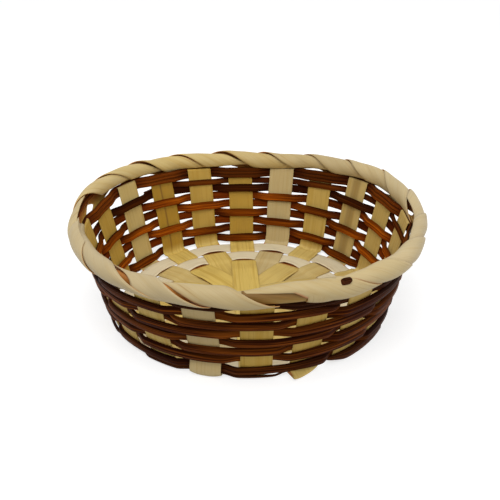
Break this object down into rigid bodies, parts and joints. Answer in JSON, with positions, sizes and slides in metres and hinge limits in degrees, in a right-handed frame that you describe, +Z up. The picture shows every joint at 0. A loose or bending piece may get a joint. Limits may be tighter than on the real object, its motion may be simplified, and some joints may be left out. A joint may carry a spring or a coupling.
{
  "type": "bread basket",
  "caption": "Round flared basket of flat pale bamboo strips woven with dark split rods, open on top with a rolled border, for serving bread or fruit.",
  "frame": {"origin": "on the resting plane, under the middle of the base", "axes": "+Z up along the basket's axis, -Y towards the viewer of the picture"},
  "size_m": [0.2398, 0.2398, 0.0726],
  "materials": {
    "bamboo_strip": "satin",
    "dark_split_rod": "gloss",
    "dark_round_rod": "satin",
    "bamboo_splint": "satin"
  },
  "bodies": {
    "root": {"stake_strip_01": "bamboo_strip", "stake_strip_02": "bamboo_strip", "stake_strip_03": "bamboo_strip", "stake_strip_04": "bamboo_strip", "stake_strip_05": "bamboo_strip", "stake_strip_06": "bamboo_strip", "stake_strip_07": "bamboo_strip", "stake_strip_08": "bamboo_strip", "stake_strip_09": "bamboo_strip", "stake_strip_10": "bamboo_strip", "weaver_rod_1": "dark_split_rod", "weaver_rod_2": "dark_split_rod", "weaver_rod_3": "dark_split_rod", "weaver_rod_4": "dark_split_rod", "weaver_rod_5": "dark_split_rod", "weaver_rod_6": "dark_split_rod", "top_rod_1": "dark_round_rod", "top_rod_2": "dark_round_rod", "top_rod_3": "dark_round_rod", "foot_rod": "dark_round_rod", "end_rod": "dark_round_rod", "rim_core": "dark_round_rod", "base_ring_inner": "bamboo_splint", "base_ring_outer": "bamboo_splint"}
  },
  "joints": []
}
